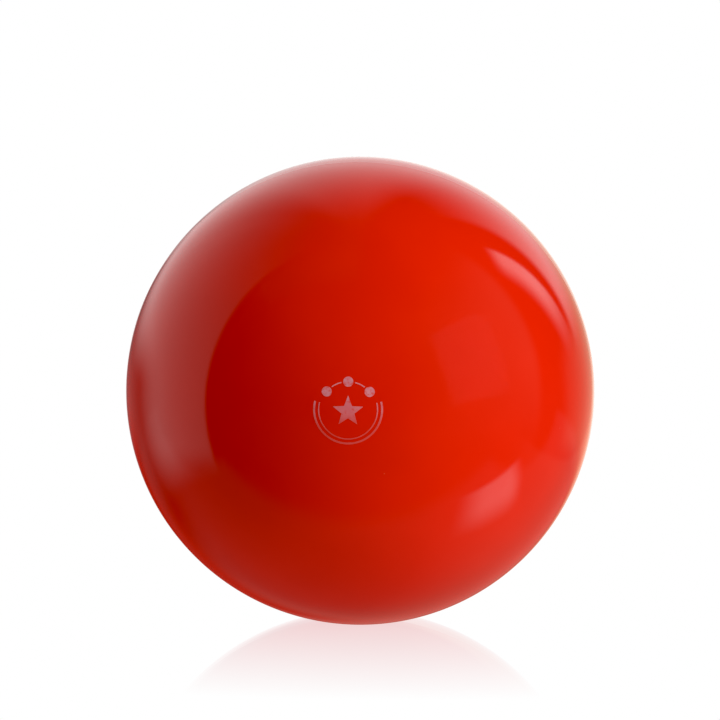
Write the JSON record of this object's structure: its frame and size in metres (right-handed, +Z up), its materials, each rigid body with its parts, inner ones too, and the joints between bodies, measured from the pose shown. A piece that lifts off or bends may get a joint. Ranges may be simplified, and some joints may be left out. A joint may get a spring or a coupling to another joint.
{
  "type": "juggling ball",
  "caption": "Large glossy air-filled ball with a moulded skin, a self-sealing valve closed by a pull-out stopper, and a small printed badge.",
  "frame": {"origin": "centre of the ball", "axes": "+Z up as the ball lies, +Y out through the middle of the valve, so the printed badge faces -Y"},
  "size_m": [0.19, 0.1899, 0.19],
  "materials": {
    "skin": "gloss",
    "seat": "satin",
    "core": "matte",
    "stopper": "satin",
    "ink": "satin"
  },
  "bodies": {
    "ball": {"ball_skin": "skin", "valve_seat": "seat", "valve_core": "core", "printed_mark": "ink"},
    "plug": {"stopper": "stopper"}
  },
  "joints": [
    {"name": "stopper_pull", "type": "slide", "parent": "ball", "child": "plug", "axis": [0, 1, 0], "range_m": [0, 0.015]}
  ]
}
